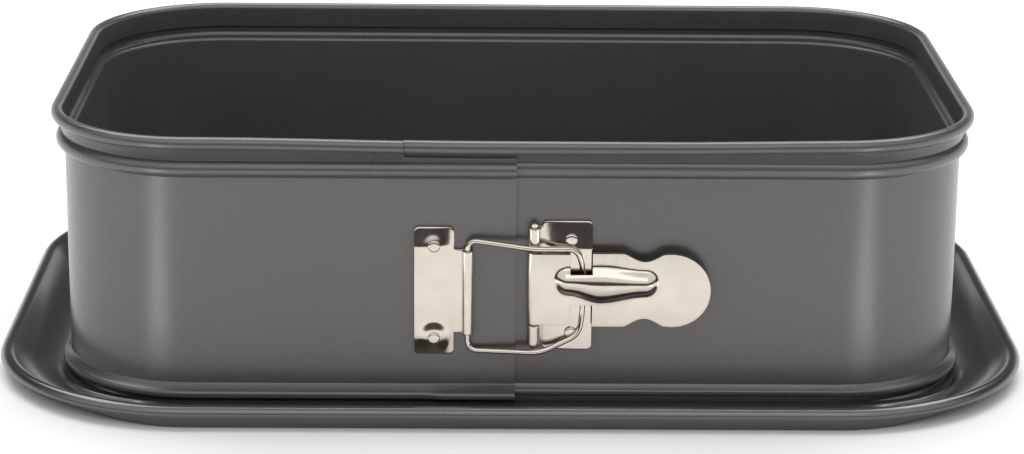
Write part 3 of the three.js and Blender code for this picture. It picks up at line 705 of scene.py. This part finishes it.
def lever_rise(along, across):
    """Height of the pressed lever: its crown, its lifted thumb piece, and the keel, a round dome at the
    pin's end that runs over the neck to a narrower tip."""
    bend = max(0.0, (along - (LEVER_LENGTH - 2 * THUMB)) / (2 * THUMB))
    lift = THUMB_LIFT * bend * bend
    crown = LEVER_CROWN * (1 - (across / WING_HALF) ** 2)
    spine = min(KEEL_TIP[0], max(KEEL_DOME[0], along))
    end = KEEL_DOME if spine < KEEL_WIDE[0] else KEEL_TIP
    share = smooth_step(KEEL_WIDE[0], end[0], spine)
    half, middle = (wide + (narrow - wide) * share for wide, narrow in zip(KEEL_WIDE[1:], end[1:]))
    away = math.hypot(along - spine, across - middle) / half
    dome = 1 - away * away
    return lift + crown + KEEL_RISE * (dome + math.sqrt(dome * dome + KEEL_SOFTNESS)) / 2


def lever_rows():
    """Places along the lever: even to the thumb, then closer towards the round tip."""
    rows = [PLATE_END * i / 16 for i in range(16)]
    rows += [PLATE_END + (NOTCH_END - PLATE_END) * i / 12 for i in range(12)]
    rows += [NOTCH_END + (THUMB_AT - NOTCH_END) * i / 40 for i in range(40)]
    rows += [THUMB_AT + THUMB * math.sin(math.pi / 2 * i / 24) for i in range(24)]
    return rows + [LEVER_LENGTH - 0.02]


def lever():
    rows = lever_rows()
    last = len(rows) - 1
    side, core = 12, 20
    columns = 2 * side + core
    mesh = bmesh.new()
    bmesh.ops.create_grid(mesh, x_segments=last, y_segments=columns, size=0.5)
    notch = []
    for face in mesh.faces:
        centre = face.calc_center_median()
        along = rows[int((centre.x + 0.5) * last)]
        column = (centre.y + 0.5) * columns
        if PLATE_END - 1e-6 < along < NOTCH_END - 1e-6 and not side < column < side + core:
            notch.append(face)
    for vertex in mesh.verts:
        along = rows[round((vertex.co.x + 0.5) * last)]
        column = round((vertex.co.y + 0.5) * columns) - columns / 2
        half = lever_half_height(along)
        narrow = half * CORE_SHARE
        blend = 1 - smooth_step(CORE_BLEND_START, CORE_BLEND_END, along)
        inner = min(NECK_HALF, narrow + (NECK_HALF - narrow) * blend)
        spread = abs(column) - core / 2
        across = inner * abs(column) / (core / 2)
        if spread > 0:
            across = inner + (half - inner) * spread / side
        across = math.copysign(across, column)
        depth = PIN_DEPTH + KNUCKLE - SHEET / 2 + lever_rise(along, across)
        vertex.co = front(PIN_X + along, depth, LATCH_Z + across)
    bmesh.ops.delete(mesh, geom=notch, context="FACES")
    roll = Sweep(mesh, edge_run(mesh, PIN_X, LATCH_Z - PLATE_HALF, LATCH_Z + PLATE_HALF))
    roll.corner(front(PIN_X, PIN_DEPTH, 0), -LEVER_ROLL, ROLL_STEPS)
    piece = finish_piece("latch_lever", mesh, NICKEL,
                         PRESSED_SHEET, None, LEVER_EDGE, TOWARD_FRONT)
    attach(piece, "lever")
    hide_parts("lever")


# Wire

def bail_path():
    """The wire's middle line, from the keeper's barrel over the hinge knuckles and down into the lever's
    notches, with its corners bent round."""
    nose, nose_depth = PIN_X + 14.5, PIN_DEPTH + 0.1
    over = PIN_DEPTH + KNUCKLE + WIRE_RADIUS + 0.55
    corners = [
        front(KEEPER_X, KEEPER_DEPTH, 52.5),
        front(PIN_X, over, 50.5),
        front(nose - 2.0, nose_depth + 1.2, 50.0),
        front(nose, nose_depth, 43.95),
        front(nose, nose_depth, 31.45),
        front(nose - 1.0, nose_depth + 1.0, 23.5),
        front(PIN_X + 1.8, over, 18.4),
        front(KEEPER_X, KEEPER_DEPTH, 18.3),
    ]
    bend_steps = 12
    path = []
    for i, corner in enumerate(corners):
        before, after = corners[i - 1], corners[(i + 1) % len(corners)]
        reach = min(WIRE_BEND, (corner - before).length / WIRE_BEND_SHARE,
                    (corner - after).length / WIRE_BEND_SHARE)
        enter = corner + (before - corner).normalized() * reach
        leave = corner + (after - corner).normalized() * reach
        for k in range(bend_steps + 1):
            t = k / bend_steps
            path.append(enter * (1 - t) ** 2 + corner * 2 * t * (1 - t) + leave * t * t)
    return path


def bail():
    path = bail_path()
    curve = bpy.data.curves.new("bail_path", "CURVE")
    curve.dimensions = "3D"
    curve.bevel_depth = WIRE_RADIUS * MM
    curve.bevel_resolution = 7
    curve.use_fill_caps = False
    wire = curve.splines.new("POLY")
    wire.points.add(len(path) - 1)
    for point, place in zip(wire.points, path):
        point.co = (*(place * MM), 1)
    wire.use_cyclic_u = True
    drawn = bpy.data.objects.new("bail_path", curve)
    bpy.context.collection.objects.link(drawn)
    depsgraph = bpy.context.evaluated_depsgraph_get()
    data = bpy.data.meshes.new_from_object(drawn.evaluated_get(depsgraph))
    bpy.data.objects.remove(drawn)
    mesh = bmesh.new()
    mesh.from_mesh(data)
    bmesh.ops.scale(mesh, vec=(1 / MM, 1 / MM, 1 / MM), verts=mesh.verts)
    piece = finish_piece("bail_wire", mesh, NICKEL)
    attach(piece, "bail")
    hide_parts("wire_bail")


ring()
tray()
keeper()
hinge_leaf()
rivets_and_pin()
lever()
bail()


# Studio

def floor():
    """A plain white table that ends a little in front of the pan."""
    mesh = bmesh.new()
    bmesh.ops.create_grid(mesh, x_segments=8, y_segments=8, size=0.5)
    bmesh.ops.scale(mesh, vec=(FLOOR_WIDE, FLOOR_FAR - FLOOR_NEAR, 1), verts=mesh.verts)
    middle = (FLOOR_NEAR + FLOOR_FAR) / 2
    bmesh.ops.translate(mesh, verts=mesh.verts, vec=(0, middle, FLOOR_HEIGHT))
    data = bpy.data.meshes.new("table")
    mesh.to_mesh(data)
    mesh.free()
    table = bpy.data.objects.new("table", data)
    bpy.context.collection.objects.link(table)
    material = bpy.data.materials.new("table_white")
    graph = Graph(material)
    graph.surface(graph.node("ShaderNodeBsdfPrincipled", {}, {
        "Base Color": graph.between(graph.noise(40.0), (0.93, 0.93, 0.93), (0.95, 0.95, 0.95)),
        "Roughness": 0.7,
        "Specular IOR Level": 0.2,
    }))
    data.materials.append(material)


def area_lamp(name, place, turn, wide, tall, power):
    lamp = bpy.data.lights.new(name, "AREA")
    lamp.shape = "RECTANGLE"
    lamp.size, lamp.size_y = wide, tall
    lamp.energy = power
    box = bpy.data.objects.new(name, lamp)
    box.location = place
    box.rotation_euler = turn
    box.visible_camera = False
    bpy.context.collection.objects.link(box)


def softbox(name, place, aim, wide, tall, power):
    turn = (Vector(aim) - Vector(place)).to_track_quat("-Z", "Y").to_euler()
    area_lamp(name, place, turn, wide, tall, power)


def floor_strip(name, x, y, degrees):
    """A thin strip of light on the table, past a front corner of the tray, that shines upward."""
    area_lamp(name, (x, y, STRIP_HEIGHT), (math.pi, 0, math.radians(degrees)),
              STRIP_WIDE, STRIP_LONG, STRIP_POWER)


def greys(*stops):
    return [(place, (level, level, level, 1)) for place, level in stops]


def studio_world():
    """White to the camera and plain light on the object. Reflections see a pale room that is dark low in
    front and, at the rear, dark above a pale band."""
    world = bpy.data.worlds.new("studio")
    bpy.context.scene.world = world
    world.cycles.sampling_method = "NONE"
    graph = Graph(world)
    path = graph.node("ShaderNodeLightPath")
    rays = path.socket.node.outputs
    seen = Value(graph, rays["Is Camera Ray"]) + Value(graph, rays["Is Glossy Ray"])
    seen = seen + Value(graph, rays["Is Transmission Ray"])
    look = graph.node("ShaderNodeTexCoord", output="Generated")
    rearward = graph.node("ShaderNodeSeparateXYZ", {}, {0: look}, output=1)
    upward = graph.node("ShaderNodeSeparateXYZ", {}, {0: look}, output=2)
    ahead = graph.node("ShaderNodeValToRGB", {"stops": greys(
        (0.0, 0.06), (0.17, 0.06), (0.26, 1.0), (0.9, 1.0), (1.0, 0.5))}, {0: upward})
    behind = graph.node("ShaderNodeValToRGB", {"stops": greys(
        (0.17, 0.95), (0.23, 0.02), (0.6, 0.02), (0.85, 0.5), (1.0, 0.5))}, {0: upward})
    side = graph.node("ShaderNodeMapRange", {}, {0: rearward, 1: -0.25, 2: 0.25})
    room = graph.node("ShaderNodeMix", {"data_type": "RGBA"}, {0: side, 6: ahead, 7: behind}, output=2)
    lit = graph.node("ShaderNodeBackground", {}, {"Color": (1, 1, 1, 1), "Strength": ROOM_LIGHT})
    mirrored = graph.node("ShaderNodeBackground", {}, {"Color": room, "Strength": 1.0})
    white = graph.node("ShaderNodeBackground", {}, {"Color": (1, 1, 1, 1), "Strength": 1.0})
    shown = graph.node("ShaderNodeMixShader", {}, {
        0: Value(graph, rays["Is Glossy Ray"]), 1: white, 2: mirrored})
    mixed = graph.node("ShaderNodeMixShader", {}, {0: seen, 1: lit, 2: shown})
    graph.node("ShaderNodeOutputWorld", {}, {"Surface": mixed})


def camera():
    """The photograph's view: place, turn and lens were fitted to the pan's rim, foot and tray."""
    level = math.cos(VIEW_PITCH)
    forward = Vector((math.sin(VIEW_YAW) * level, math.cos(VIEW_YAW) * level, -math.sin(VIEW_PITCH)))
    right = Vector((math.cos(VIEW_YAW), -math.sin(VIEW_YAW), 0))
    up = right.cross(forward)
    across = math.cos(VIEW_ROLL) * right + math.sin(VIEW_ROLL) * up
    upward = math.cos(VIEW_ROLL) * up - math.sin(VIEW_ROLL) * right
    lens = bpy.data.cameras.new("photo_view")
    lens.sensor_fit = "HORIZONTAL"
    lens.sensor_width = SENSOR
    lens.lens = SENSOR * PHOTO_FOCUS / PHOTO_WIDE
    lens.clip_end = 30
    view = bpy.data.objects.new("photo_view", lens)
    turn = Matrix((across, upward, -forward)).transposed().to_4x4()
    view.matrix_world = Matrix.Translation(VIEW_PLACE) @ turn
    bpy.context.collection.objects.link(view)
    bpy.context.scene.camera = view


floor()
softbox("overhead", (0.0, 0.6, 1.4), (0, 0, 0), wide=2.2, tall=1.2, power=27)
softbox("front_fill", (0.0, -1.4, 1.3), (0, 0.05, 0.04), wide=1.6, tall=0.7, power=2.5)
floor_strip("strip_left", -0.184, -0.218, -29)
floor_strip("strip_right", 0.180, -0.217, 30)
studio_world()
camera()
bpy.context.scene.view_settings.view_transform = "Standard"
